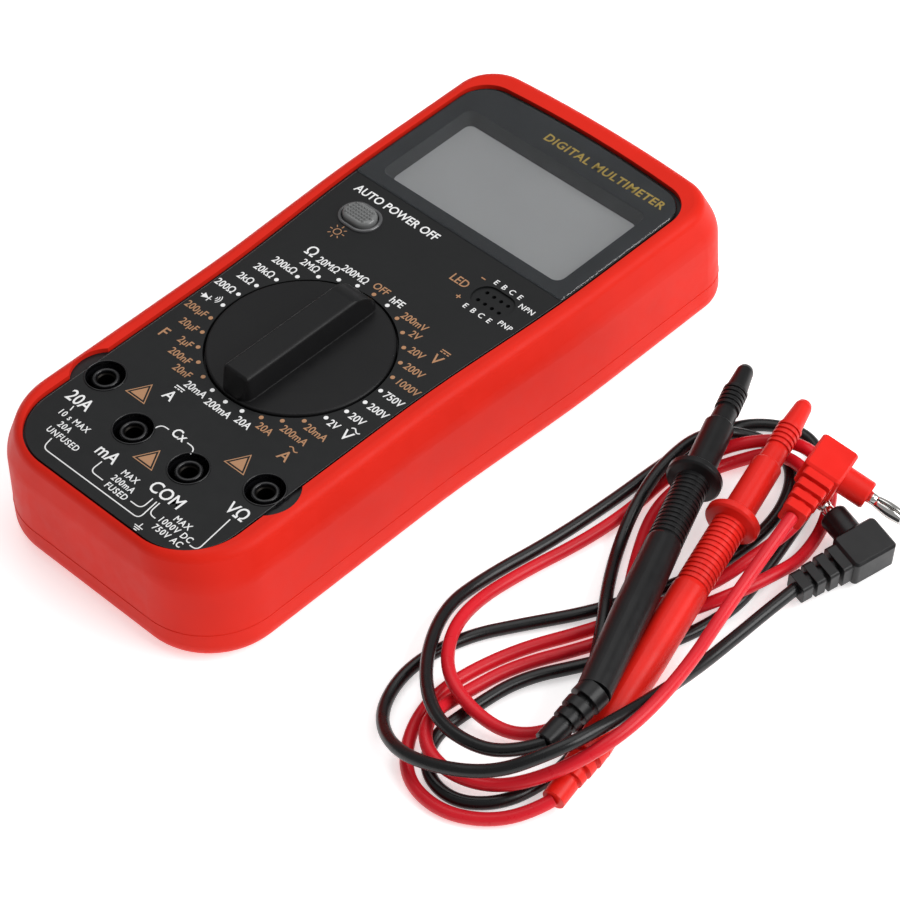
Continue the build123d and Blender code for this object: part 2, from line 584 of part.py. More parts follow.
# Each lead's way from its probe to its plug, chosen by hand
BLACK_ROUTE = [
    (114.1, -56.9, 12.5), (110.9, -62.0, 11.4), (103.0, -67.1, 10.2), (89.6, -67.2, 9.4), (75.9, -57.0, 7.6),
    (65.5, -40.3, 5.5), (64.0, -24.2, 2.2), (67.3, -5.3, 1.8), (69.2, 14.3, 1.8), (69.8, 30.0, 1.8),
    (71.3, 42.7, 1.8), (76.2, 56.2, 1.8), (90.1, 63.0, 1.8), (102.2, 52.6, 1.8), (106.8, 36.6, 1.8),
    (110.4, 21.5, 1.8), (113.2, 7.6, 1.8), (109.6, -9.5, 1.8), (99.5, -27.5, 1.8), (91.0, -41.0, 1.8),
    (89.0, -55.0, 1.8), (88.2, -67.4, 1.8), (94.8, -75.6, 1.8), (104.6, -76.8, 1.8), (112.6, -70.2, 1.8),
    (115.8, -59.4, 1.8), (115.2, -47.6, 1.8), (108.4, -36.8, 1.8), (102.7, -28.8, 5.2), (97.0, -20.0, 6.0),
    (89.6, -10.3, 5.8), (81.2, 2.1, 2.4), (76.4, 13.6, 5.4), (72.2, 28.0, 5.8), (72.4, 43.0, 5.8),
    (80.6, 52.7, 2.6), (93.2, 52.6, 1.8), (101.8, 37.6, 1.8), (102.2, 17.5, 1.8), (96.7, 0.6, 1.8),
    (89.4, -15.2, 1.8), (80.6, -28.2, 1.8), (73.0, -40.2, 1.8), (69.5, -55.7, 1.8), (74.3, -70.0, 2.2),
    (86.4, -77.8, 6.4), (99.6, -77.0, 9.9), (111.6, -70.4, 12.0), (119.0, -61.0, 16.4), (122.4, -50.3, 17.0),
    (122.4, -34.4, 12.4), (120.6, -15.3, 5.6), (120.2, 0.6, 4.2), (120.6, 11.0, 4.8), (121.2, 19.5, 5.3),
]
RED_ROUTE = [
    (121.7, -62.7, 4.2), (119.6, -68.6, 2.8), (113.2, -76.2, 1.8), (103.4, -81.0, 1.8), (91.8, -79.2, 1.8),
    (83.0, -69.0, 1.8), (79.5, -55.4, 1.8), (83.9, -36.3, 1.8), (93.0, -19.5, 1.8), (99.2, -3.5, 1.8),
    (104.6, 9.8, 2.2), (108.0, 21.6, 5.8), (108.6, 34.0, 5.5), (105.8, 44.2, 5.3), (98.2, 50.2, 5.6),
    (89.0, 49.4, 5.4), (82.4, 43.4, 2.0), (78.8, 35.0, 1.8), (77.4, 25.8, 1.8), (79.5, 15.6, 2.0),
    (86.5, 3.1, 3.4), (96.4, -11.3, 6.4), (104.2, -23.6, 6.4), (109.9, -35.5, 5.9), (109.6, -47.4, 5.0),
    (102.2, -54.8, 2.6), (92.8, -57.8, 5.8), (81.4, -55.0, 7.6), (72.8, -45.2, 6.6), (68.9, -33.2, 4.6),
    (69.1, -17.4, 2.0), (72.9, -0.2, 1.8), (74.3, 15.0, 1.8), (73.3, 27.4, 1.8), (75.0, 38.4, 1.8),
    (81.2, 47.4, 5.0), (91.5, 55.0, 6.8), (103.8, 53.6, 6.0), (111.0, 43.4, 2.2), (114.6, 30.0, 2.2),
    (115.0, 19.5, 5.6), (112.4, 8.8, 5.9), (104.7, -2.2, 1.8), (96.4, -23.0, 1.8), (87.4, -39.1, 1.8),
    (84.5, -53.2, 1.8), (85.4, -65.2, 5.6), (91.4, -72.4, 5.8), (100.6, -73.2, 4.4), (109.4, -68.8, 3.6),
    (117.6, -62.6, 8.0), (124.4, -53.2, 13.4), (126.8, -39.6, 15.6), (124.0, -21.4, 14.8), (119.2, -4.0, 14.4),
    (115.8, 12.4, 16.2), (113.0, 27.2, 17.6),
]

# Probes lie along the line from the cap's tip to the start of the strain relief.
# Plugs are placed by their middle, the way the pin points and the way the boot points.
LEADS = {
    "black": {
        "tip": (69.2, 62.0, 11.0), "towards": (114.5, -42.9, 15.0), "route": BLACK_ROUTE,
        "plug": (125.5, 38.5, 6.0), "pin": (-0.962, 0.213, 0.15), "boot": (-0.226, -0.970, -0.035),
    },
    "red": {
        "tip": (88.7, 61.0, 13.0), "towards": (116.1, -36.8, 6.4), "route": RED_ROUTE,
        "plug": (107.6, 45.9, 15.6), "pin": (0.914, 0.227, -0.336), "boot": (0.27, -0.95, 0.10),
    },
}

PLUG_X, PLUG_Y, PLUG_Z = 9.8, 12.0, 8.2     # along the pin, along the boot, and thickness
COLLAR_LENGTH, PIN_LENGTH, BOOT_LENGTH = 7.0, 12.5, 13.5
PIN_PROFILE = [(0, 1.5), (2.2, 1.5), (4.0, 1.9), (8.6, 1.9), (10.6, 1.4), (PIN_LENGTH - 0.8, 1.3),
               (PIN_LENGTH, 0.7)]
BOOT_CORE = 2.3
# Blocks along the boot: where each starts and ends, its width and its thickness
BOOT_BLOCKS = [(0, 2.6, 7.8, 6.8), (3.7, 6.2, 7.2, 6.4), (7.3, 9.7, 6.6, 6.0), (10.7, BOOT_LENGTH, 6.0, 5.6)]



def arc_radii(route):
    """The largest arc at each corner: 0.45 of the shorter run over the tangent of half the turn."""
    radii = []
    for before, here, after in zip(route, route[1:], route[2:]):
        arriving = Vector(*here) - Vector(*before)
        leaving = Vector(*after) - Vector(*here)
        shorter = min(arriving.length, leaving.length)
        radii.append(0.45 * shorter / tan(radians(arriving.get_angle(leaving)) / 2))
    return radii


for colour, lead in LEADS.items():
    probe = along(lead["tip"], lead["towards"])
    relief_start = probe.origin + probe.x_dir * PROBE_LENGTH
    relief_axis = along(tuple(relief_start), lead["route"][0])
    relief_length = (Vector(*lead["route"][0]) - relief_start).length

    with BuildPart() as tip_cap:
        turned(probe, CAP_PROFILE)
        turned(probe, [(2.6, NEEDLE_RADIUS + RUNNING), (CAP_LENGTH + 1, NEEDLE_RADIUS + RUNNING)],
               mode=Mode.SUBTRACT)
    write(tip_cap, f"{colour}_tip_cap")

    with BuildPart() as needle:
        turned(probe, [(3.0, 0.25), (4.6, NEEDLE_RADIUS), (46.0, NEEDLE_RADIUS)])
    write(needle, f"{colour}_probe_needle")

    with BuildPart() as probe_body:
        turned(probe, BODY_PROFILE)
        turned(probe, [(20.0, NEEDLE_RADIUS), (46.0, NEEDLE_RADIUS)], mode=Mode.SUBTRACT)
    write(probe_body, f"{colour}_probe_body")

    with BuildPart() as relief:
        turned(relief_axis, RELIEF_PROFILE + [(relief_length, 2.8)])
        add(probe_body.part, mode=Mode.SUBTRACT)
    write(relief, f"{colour}_probe_relief")

    radii = arc_radii(lead["route"])
    start = Vector(*lead["route"][0])
    with BuildPart() as cable:
        with BuildLine() as path:
            FilletPolyline(*lead["route"], radius=radii)
        with BuildSketch(Plane(start, z_dir=Vector(*lead["route"][1]) - start)):
            Circle(CORD / 2)
        sweep()
    length = sum(edge.length for edge in path.edges())
    expected = pi * (CORD / 2) ** 2 * length
    print(f"{colour} lead: {length:.0f} mm long, radii {[round(r, 1) for r in radii]}")
    print(f"{colour} lead: volume {cable.part.volume:.0f}, section times length {expected:.0f}")
    write(cable, f"{colour}_lead")

    pin_way = Vector(*lead["pin"]).normalized()
    boot_way = Vector(*lead["boot"])
    boot_way = (boot_way - pin_way * pin_way.dot(boot_way)).normalized()
    block = Plane(lead["plug"], x_dir=pin_way, z_dir=pin_way.cross(boot_way))
    middle = block.origin
    collar = Plane(middle + pin_way * (PLUG_X / 2 - 0.5), x_dir=pin_way, z_dir=block.z_dir)
    boot = Plane(middle + boot_way * (PLUG_Y / 2), x_dir=boot_way, z_dir=block.z_dir)
    pin = Plane(middle + pin_way * (PLUG_X / 2 + COLLAR_LENGTH), x_dir=pin_way, z_dir=block.z_dir)

    with BuildPart() as plug_body:
        with BuildSketch(block.offset(-PLUG_Z / 2)):
            RectangleRounded(PLUG_X, PLUG_Y, 1.2)
        extrude(amount=PLUG_Z)
        level_edges = plug_body.edges().filter_by(lambda e: abs(e.tangent_at(0.5).dot(block.z_dir)) < 0.1)
        chamfer(level_edges, length=0.6)
        turned(collar, [(0, 3.5), (COLLAR_LENGTH, 3.5), (COLLAR_LENGTH + 0.5, 3.2)])
        turned(boot, [(0, BOOT_CORE), (BOOT_LENGTH, BOOT_CORE)])
        for block_start, block_end, width, thickness in BOOT_BLOCKS:
            foot = middle + boot_way * (PLUG_Y / 2 + block_start)
            with BuildSketch(Plane(foot, x_dir=pin_way, z_dir=boot_way)):
                RectangleRounded(width, thickness, 0.9)
            extrude(amount=block_end - block_start)
    write(plug_body, f"{colour}_plug_body")

    with BuildPart() as plug_pin:
        turned(pin, PIN_PROFILE)
    write(plug_pin, f"{colour}_plug_pin")
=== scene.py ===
import json
import math

import bmesh
import bpy
from mathutils import Matrix, Vector


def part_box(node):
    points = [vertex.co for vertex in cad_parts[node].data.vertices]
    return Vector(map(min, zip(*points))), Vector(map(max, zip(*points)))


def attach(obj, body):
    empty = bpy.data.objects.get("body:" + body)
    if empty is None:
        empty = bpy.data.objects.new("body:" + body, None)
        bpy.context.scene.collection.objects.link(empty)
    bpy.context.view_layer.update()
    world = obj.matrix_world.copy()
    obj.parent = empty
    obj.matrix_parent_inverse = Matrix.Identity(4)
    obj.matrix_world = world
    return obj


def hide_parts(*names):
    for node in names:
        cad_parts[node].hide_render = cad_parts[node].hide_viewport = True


# The looks of a digital multimeter with its test leads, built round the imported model.
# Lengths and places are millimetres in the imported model's frame, and MM turns them into metres. CORD_RADIUS,
# the leads' lengths, the floor, the lights and the camera are in metres.

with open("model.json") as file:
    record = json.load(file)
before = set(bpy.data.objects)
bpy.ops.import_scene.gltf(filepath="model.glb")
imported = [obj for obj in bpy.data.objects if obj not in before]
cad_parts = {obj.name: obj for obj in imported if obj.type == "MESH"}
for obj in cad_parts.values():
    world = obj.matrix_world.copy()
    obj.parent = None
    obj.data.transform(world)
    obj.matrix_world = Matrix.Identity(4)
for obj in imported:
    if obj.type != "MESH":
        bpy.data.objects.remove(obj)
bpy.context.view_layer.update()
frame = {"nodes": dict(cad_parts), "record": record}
nodes = frame["nodes"]
MM = 0.001
JACKS = ("20a", "ma", "com", "volt")


def top_of(node):
    """Height of a CAD node's top, in millimetres."""
    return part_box(node)[1].z / MM


def middle_of(node):
    """Middle of a CAD node seen from above, in millimetres."""
    low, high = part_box(node)
    return (low.x + high.x) / 2 / MM, (low.y + high.y) / 2 / MM


PANEL = top_of("face_plate")
LENS = top_of("display_lens")
LENS_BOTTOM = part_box("display_lens")[0].z / MM
BUTTON = top_of("backlight_button")


# ---------------------------------------------------------------- materials
PATCH_MM = 14                   # size of the slow patches of colour
GLOSS_MM = 3.5                  # size of the patches of uneven gloss
GLOSS_SPREAD = (0.9, 1.12)      # least and most roughness in those patches, as a share of the given one
GRAIN_DEPTH_MM = 0.05


def new_material(name):
    """Material with its node tree and its main shader."""
    made = bpy.data.materials.new(name)
    made.use_nodes = True
    shader = made.node_tree.nodes["Principled BSDF"]
    return made, made.node_tree, shader


def noise(tree, size_mm, detail=3.0, rough=0.5):
    """Noise fixed to the object, with features of about size_mm."""
    place = tree.nodes.new("ShaderNodeTexCoord")
    texture = tree.nodes.new("ShaderNodeTexNoise")
    texture.inputs["Scale"].default_value = 1 / (size_mm * MM)
    texture.inputs["Detail"].default_value = detail
    texture.inputs["Roughness"].default_value = rough
    tree.links.new(place.outputs["Object"], texture.inputs["Vector"])
    return texture.outputs["Fac"]


def ranged(tree, value, low, high, start=0.35, end=0.65):
    """Spread a value between start and end over low to high."""
    spread = tree.nodes.new("ShaderNodeMapRange")
    spread.inputs["From Min"].default_value = start
    spread.inputs["From Max"].default_value = end
    spread.inputs["To Min"].default_value = low
    spread.inputs["To Max"].default_value = high
    tree.links.new(value, spread.inputs["Value"])
    return spread.outputs["Result"]


def blended(tree, value, first, second):
    """Colour that goes from first to second with value."""
    mix = tree.nodes.new("ShaderNodeMix")
    mix.data_type = "RGBA"
    mix.inputs["A"].default_value = (*first, 1)
    mix.inputs["B"].default_value = (*second, 1)
    tree.links.new(value, mix.inputs["Factor"])
    return mix.outputs["Result"]


def moulded(name, colour, roughness, patches=0.06, grain_mm=0.12, grain=0.05, edge_mm=0.0,
            metallic=0.0, specular=0.5):
    """Moulded or plated surface: slow colour patches, uneven gloss, fine grain and softened edges."""
    made, tree, shader = new_material(name)
    slow = noise(tree, PATCH_MM, detail=2)
    fine = noise(tree, grain_mm, detail=4)
    darker = tuple(channel * (1 - patches) for channel in colour)
    lighter = tuple(min(channel * (1 + patches), 1) for channel in colour)
    tree.links.new(blended(tree, ranged(tree, slow, 0, 1), darker, lighter), shader.inputs["Base Color"])
    smoothest, roughest = (roughness * share for share in GLOSS_SPREAD)
    uneven = ranged(tree, noise(tree, GLOSS_MM, detail=4), smoothest, roughest)
    tree.links.new(uneven, shader.inputs["Roughness"])
    bump = tree.nodes.new("ShaderNodeBump")
    bump.inputs["Strength"].default_value = grain
    bump.inputs["Distance"].default_value = GRAIN_DEPTH_MM * MM
    tree.links.new(fine, bump.inputs["Height"])
    if edge_mm:
        soft_edge = tree.nodes.new("ShaderNodeBevel")
        soft_edge.samples = 4
        soft_edge.inputs["Radius"].default_value = edge_mm * MM
        tree.links.new(soft_edge.outputs["Normal"], bump.inputs["Normal"])
    tree.links.new(bump.outputs["Normal"], shader.inputs["Normal"])
    shader.inputs["Metallic"].default_value = metallic
    shader.inputs["Specular IOR Level"].default_value = specular
    return made


def clear_lens(name, tint):
    """Polished clear plastic with faint rubbing marks in its gloss."""
    made, tree, shader = new_material(name)
    shader.inputs["Base Color"].default_value = (*tint, 1)
    shader.inputs["Transmission Weight"].default_value = 1
    shader.inputs["IOR"].default_value = 1.45
    tree.links.new(ranged(tree, noise(tree, 2.5), 0.02, 0.07), shader.inputs["Roughness"])
    return made


holster_red = moulded("holster_red", (0.66, 0.019, 0.009), 0.42, patches=0.03, grain_mm=0.25, grain=0.05,
                      specular=0.09)
case_black = moulded("case_black", (0.010, 0.010, 0.011), 0.45, grain=0.15, edge_mm=0.3, specular=0.3)
panel_charcoal = moulded("panel_charcoal", (0.0095, 0.010, 0.0105), 0.44, patches=0.05, grain=0.1,
                         specular=0.2)
bezel_grey = moulded("bezel_grey", (0.050, 0.053, 0.057), 0.5, grain=0.0, specular=0.3)
mask_grey = moulded("mask_grey", (0.040, 0.044, 0.049), 0.5, grain=0.0, specular=0.2)
knob_black = moulded("knob_black", (0.0065, 0.0065, 0.007), 0.38, grain=0.1, edge_mm=0.4, specular=0.2)
glossy_black = moulded("glossy_black", (0.006, 0.006, 0.007), 0.18, grain=0.02, specular=0.4)
button_silver = moulded("button_silver", (0.15, 0.153, 0.153), 0.24, grain=0.04, edge_mm=0.15)
rim_grey = moulded("rim_grey", (0.07, 0.07, 0.073), 0.12, grain=0.02, specular=0.8)
# Jack tubes: near-black metal in place of their brass, which paints the shade deep inside the jack holes
painted_shade_tube = moulded("painted_shade_tube", (0.012, 0.011, 0.010), 0.4, metallic=1, grain=0.03)
lcd_grey = moulded("lcd_grey", (0.47, 0.47, 0.465), 0.35, patches=0.015, grain=0.0, specular=0.3)
frosted = moulded("frosted", (0.8, 0.8, 0.78), 0.5)
board_green = moulded("board_green", (0.01, 0.12, 0.04), 0.3, patches=0.15)
brass = moulded("brass", (0.62, 0.42, 0.15), 0.25, metallic=1)
plated = moulded("plated", (0.62, 0.62, 0.63), 0.28, metallic=1, grain_mm=0.3)
nickel = moulded("nickel", (0.75, 0.74, 0.72), 0.12, metallic=1, grain_mm=0.4, grain=0.03, patches=0.08)
ceramic = moulded("ceramic", (0.72, 0.71, 0.66), 0.35)
jacket = moulded("jacket", (0.02, 0.025, 0.05), 0.3, patches=0.2)
lead_black = moulded("lead_black", (0.006, 0.006, 0.0065), 0.28, grain=0.05, specular=0.35)
lead_red = moulded("lead_red", (0.62, 0.012, 0.022), 0.3, grain=0.05, specular=0.25)
probe_black = moulded("probe_black", (0.0055, 0.0055, 0.006), 0.34, grain=0.12, edge_mm=0.3, specular=0.28)
probe_red = moulded("probe_red", (0.70, 0.014, 0.008), 0.36, grain=0.12, edge_mm=0.22, specular=0.22)
ink_white = moulded("ink_white", (0.80, 0.80, 0.80), 0.45, patches=0.03)
ink_copper = moulded("ink_copper", (0.40, 0.20, 0.095), 0.4, patches=0.05)
ink_gold = moulded("ink_gold", (0.62, 0.44, 0.07), 0.35, patches=0.05)
lens_clear = clear_lens("lens_clear", (0.90, 0.91, 0.92))

FINISHES = {
    "holster_rubber": holster_red, "case_plastic": case_black, "panel_plastic": panel_charcoal,
    "knob_plastic": knob_black, "button_plastic": button_silver, "lens_plastic": lens_clear,
    "lcd_glass": lcd_grey, "backlight_plastic": frosted, "zebra_rubber": case_black,
    "board_laminate": board_green, "chip_plastic": case_black, "contact_brass": brass,
    "plated_steel": plated, "fuse_glass": ceramic, "battery_jacket": jacket,
    "black_probe_plastic": probe_black, "red_probe_plastic": probe_red, "black_cable": lead_black,
    "red_cable": lead_red, "nickel": nickel,
}
OWN_FINISH = {"lcd_bezel": bezel_grey, "jack_block": glossy_black}
# The jack tubes take the near-black metal that paints the shade inside the jack holes
OWN_FINISH |= {f"jack_tube_{jack}": painted_shade_tube for jack in JACKS}
for part in frame["record"]["subparts"]:
    node = nodes[part["node"]]
    finish = OWN_FINISH.get(part["node"], FINISHES[part["material_slot"]])
    if not node.material_slots:
        node.data.materials.append(finish)
    for place in node.material_slots:
        place.material = finish


# ---------------------------------------------------------------- making pieces
def finished(piece, body, finish):
    """Give a piece its material and the body that it rides on."""
    piece.data.materials.clear()
    piece.data.materials.append(finish)
    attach(piece, body)
    return piece


def linked(name, data):
    """New object of some data, put into the scene."""
    piece = bpy.data.objects.new(name, data)
    bpy.context.scene.collection.objects.link(piece)
    return piece


def mesh_piece(name, points, faces, smooth=False):
    """Object of points in millimetres and faces, with its normals made consistent."""
    mesh = bpy.data.meshes.new(name)
    mesh.from_pydata([Vector(point) * MM for point in points], [], faces)
    shell = bmesh.new()
    shell.from_mesh(mesh)
    bmesh.ops.recalc_face_normals(shell, faces=shell.faces)
    shell.to_mesh(mesh)
    shell.free()
    if smooth:
        mesh.shade_smooth()
    return linked(name, mesh)


def joined(name, parts):
    """One mesh object made of the evaluated meshes of several objects, which are then removed."""
    whole = bmesh.new()
    for part in parts:
        bpy.context.view_layer.update()
        evaluated = part.evaluated_get(bpy.context.evaluated_depsgraph_get())
        mesh = bpy.data.meshes.new_from_object(evaluated)
        mesh.transform(part.matrix_world)
        whole.from_mesh(mesh)
        bpy.data.meshes.remove(mesh)
        bpy.data.objects.remove(part)
    mesh = bpy.data.meshes.new(name)
    whole.to_mesh(mesh)
    whole.free()
    return linked(name, mesh)


def section(node, height):
    """Longest closed outline of a CAD node at one height, as points in millimetres."""
    cut = bmesh.new()
    cut.from_mesh(nodes[node].data)
    bmesh.ops.remove_doubles(cut, verts=cut.verts, dist=1e-6)
    everything = cut.verts[:] + cut.edges[:] + cut.faces[:]
    level = (0, 0, height * MM)
    sliced = bmesh.ops.bisect_plane(cut, geom=everything, plane_co=level, plane_no=(0, 0, 1))["geom_cut"]
    neighbours = {}
    for edge in (item for item in sliced if isinstance(item, bmesh.types.BMEdge)):
        first, second = edge.verts
        neighbours.setdefault(first, []).append(second)
        neighbours.setdefault(second, []).append(first)
    loops = []
    while neighbours:
        loop = [next(iter(neighbours))]
        while True:
            onward = [v for v in neighbours.pop(loop[-1]) if v in neighbours]
            if not onward:
                break
            loop.append(onward[0])
        loops.append([v.co.copy() / MM for v in loop])
    cut.free()
    return max(loops, key=lambda loop: sum((a - b).length for a, b in zip(loop, loop[1:])))


def line(points, thickness, closed=False):
    """Round thread along points, in millimetres."""
    curve = bpy.data.curves.new("line", "CURVE")
    curve.dimensions = "3D"
    curve.bevel_depth = thickness / 2 * MM
    curve.bevel_resolution = 2
    curve.use_fill_caps = True
    spline = curve.splines.new("POLY")
    spline.points.add(len(points) - 1)
    for target, point in zip(spline.points, points):
        target.co = (*(Vector(point) * MM), 1)
    spline.use_cyclic_u = closed
    return linked("line", curve)


def flat(outlines, bottom, thickness):
    """Flat sheet with the first outline as its edge and the others as holes, in millimetres."""
    curve = bpy.data.curves.new("flat", "CURVE")
    curve.dimensions = "2D"
    curve.fill_mode = "BOTH"
    curve.extrude = thickness / 2 * MM
    for outline in outlines:
        spline = curve.splines.new("POLY")
        spline.points.add(len(outline) - 1)
        for target, point in zip(spline.points, outline):
            target.co = (point[0] * MM, point[1] * MM, 0, 1)
        spline.use_cyclic_u = True
    sheet = linked("flat", curve)
    sheet.location.z = (bottom + thickness / 2) * MM
    return sheet


def oval(centre, straight, radius, steps=32):
    """Slot outline with its straight sides along X; a circle where straight is 0."""
    points = []
    for step in range(2 * steps):
        angle = math.pi * (step / steps - 0.5)
        end = 1 if step < steps else -1
        points.append((centre[0] + end * straight / 2 + radius * math.cos(angle),
                       centre[1] + radius * math.sin(angle)))
    return points


def rounded_box(centre, width, height, radius, steps=6):
    """Rectangle outline with round corners."""
    points = []
    for quarter, (side_x, side_y) in enumerate(((1, 1), (-1, 1), (-1, -1), (1, -1))):
        for step in range(steps + 1):
            angle = math.pi / 2 * (quarter + step / steps)
            points.append((centre[0] + side_x * (width / 2 - radius) + radius * math.cos(angle),
                           centre[1] + side_y * (height / 2 - radius) + radius * math.sin(angle)))
    return points


def ring(name, centre, straight, profile):
    """Closed ring: a profile of (radius, height) pairs taken round an oval."""
    loops = [[(x, y, height) for x, y in oval(centre, straight, radius)] for radius, height in profile]
    around = len(loops[0])
    faces = []
    for index in range(len(loops)):
        here, after = index * around, (index + 1) % len(loops) * around
        for step in range(around):
            onward = (step + 1) % around
            faces.append((here + step, here + onward, after + onward, after + step))
    return mesh_piece(name, sum(loops, []), faces, smooth=True)


def rounded_profile(inner, outer, bottom, top, roll):
    """Ring profile with its two top edges rolled over."""
    angles = [math.pi / 2 * step / 5 for step in range(6)]
    rise = [(inner + roll * (1 - math.cos(angle)), top - roll * (1 - math.sin(angle))) for angle in angles]
    fall = [(outer - roll * (1 - math.sin(angle)), top - roll * (1 - math.cos(angle))) for angle in angles]
    return [(inner, bottom), *rise, *fall, (outer, bottom)]


# ---------------------------------------------------------------- test leads
BLACK_ROUTE = [
    (114.1, -56.9, 12.5), (110.9, -62.0, 11.4), (103.0, -67.1, 10.2), (89.6, -67.2, 9.4), (75.9, -57.0, 7.6),
    (65.5, -40.3, 5.5), (64.0, -24.2, 2.2), (67.3, -5.3, 1.8), (69.2, 14.3, 1.8), (69.8, 30.0, 1.8),
    (71.3, 42.7, 1.8), (76.2, 56.2, 1.8), (90.1, 63.0, 1.8), (102.2, 52.6, 1.8), (106.8, 36.6, 1.8),
    (110.4, 21.5, 1.8), (113.2, 7.6, 1.8), (109.6, -9.5, 1.8), (99.5, -27.5, 1.8), (91.0, -41.0, 1.8),
    (89.0, -55.0, 1.8), (88.2, -67.4, 1.8), (94.8, -75.6, 1.8), (104.6, -76.8, 1.8), (112.6, -70.2, 1.8),
    (115.8, -59.4, 1.8), (115.2, -47.6, 1.8), (108.4, -36.8, 1.8), (102.7, -28.8, 5.2), (97.0, -20.0, 6.0),
    (89.6, -10.3, 5.8), (81.2, 2.1, 2.4), (76.4, 13.6, 5.4), (72.2, 28.0, 5.8), (72.4, 43.0, 5.8),
    (80.6, 52.7, 2.6), (93.2, 52.6, 1.8), (101.8, 37.6, 1.8), (102.2, 17.5, 1.8), (96.7, 0.6, 1.8),
    (89.4, -15.2, 1.8), (80.6, -28.2, 1.8), (73.0, -40.2, 1.8), (69.5, -55.7, 1.8), (74.3, -70.0, 2.2),
    (86.4, -77.8, 6.4), (99.6, -77.0, 9.9), (111.6, -70.4, 12.0), (119.0, -61.0, 16.4), (122.4, -50.3, 17.0),
    (122.4, -34.4, 12.4), (120.6, -15.3, 5.6), (120.2, 0.6, 4.2), (120.6, 11.0, 4.8), (121.2, 19.5, 5.3),
]
RED_ROUTE = [
    (121.7, -62.7, 4.2), (119.6, -68.6, 2.8), (113.2, -76.2, 1.8), (103.4, -81.0, 1.8), (91.8, -79.2, 1.8),
    (83.0, -69.0, 1.8), (79.5, -55.4, 1.8), (83.9, -36.3, 1.8), (93.0, -19.5, 1.8), (99.2, -3.5, 1.8),
    (104.6, 9.8, 2.2), (108.0, 21.6, 5.8), (108.6, 34.0, 5.5), (105.8, 44.2, 5.3), (98.2, 50.2, 5.6),
    (89.0, 49.4, 5.4), (82.4, 43.4, 2.0), (78.8, 35.0, 1.8), (77.4, 25.8, 1.8), (79.5, 15.6, 2.0),
    (86.5, 3.1, 3.4), (96.4, -11.3, 6.4), (104.2, -23.6, 6.4), (109.9, -35.5, 5.9), (109.6, -47.4, 5.0),
    (102.2, -54.8, 2.6), (92.8, -57.8, 5.8), (81.4, -55.0, 7.6), (72.8, -45.2, 6.6), (68.9, -33.2, 4.6),
    (69.1, -17.4, 2.0), (72.9, -0.2, 1.8), (74.3, 15.0, 1.8), (73.3, 27.4, 1.8), (75.0, 38.4, 1.8),
    (81.2, 47.4, 5.0), (91.5, 55.0, 6.8), (103.8, 53.6, 6.0), (111.0, 43.4, 2.2), (114.6, 30.0, 2.2),
    (115.0, 19.5, 5.6), (112.4, 8.8, 5.9), (104.7, -2.2, 1.8), (96.4, -23.0, 1.8), (87.4, -39.1, 1.8),
    (84.5, -53.2, 1.8), (85.4, -65.2, 5.6), (91.4, -72.4, 5.8), (100.6, -73.2, 4.4), (109.4, -68.8, 3.6),
    (117.6, -62.6, 8.0), (124.4, -53.2, 13.4), (126.8, -39.6, 15.6), (124.0, -21.4, 14.8),
    (119.2, -4.0, 14.4), (115.8, 12.4, 16.2), (113.0, 27.2, 17.6),
]
CORD_RADIUS = 0.0016    # metres


def lead_cord(name, route, finish):
    """A test lead as one smooth NURBS curve with the route's points as its control points."""
    curve = bpy.data.curves.new(name, "CURVE")
    curve.dimensions = "3D"
    curve.bevel_depth = CORD_RADIUS
    curve.bevel_resolution = 5
    curve.resolution_u = 8
    curve.use_fill_caps = True
    spline = curve.splines.new("NURBS")
    spline.points.add(len(route) - 1)
    for target, point in zip(spline.points, route):
        target.co = (*(Vector(point) * MM), 1)
    spline.order_u = 3
    spline.use_endpoint_u = True
    return linked(name, curve)


# Ways in which the pins point out of their plugs, as in the CAD model
PIN_WAYS = {"black": (-0.962, 0.213, 0.15), "red": (0.914, 0.227, -0.336)}
# Foot, core and tip of a pin, as closed profiles of (distance, radius) pairs
PIN_FOOT = [(-0.3, 0.02), (-0.3, 1.5), (1.9, 1.5), (2.1, 1.3), (2.1, 0.02)]
PIN_CORE = [(1.5, 0.02), (1.5, 0.95), (11, 0.95), (11, 0.02)]
PIN_TIP = [(10.3, 0.02), (10.3, 1.38), (11.6, 1.34), (12.2, 1.05), (12.5, 0.6), (12.5, 0.02)]
# Leaf springs round the core: distances along the pin at which their bow is drawn, radius at their ends,
# how far they bow out and how thick they are; then half the angle that one covers and where the first stands
LEAF_STATIONS = (1.8, 3, 4.2, 5.4, 6.6, 7.8, 9, 10.6)
LEAF_RADIUS, LEAF_BOW, LEAF_THICKNESS = 1.42, 0.52, 0.28
LEAF_HALF_ANGLE, FIRST_LEAF = 0.6, 0.4
ALMOST_ROUND = 2 * math.pi * 0.9999     # a hair short of a full turn, so that the end caps don't coincide


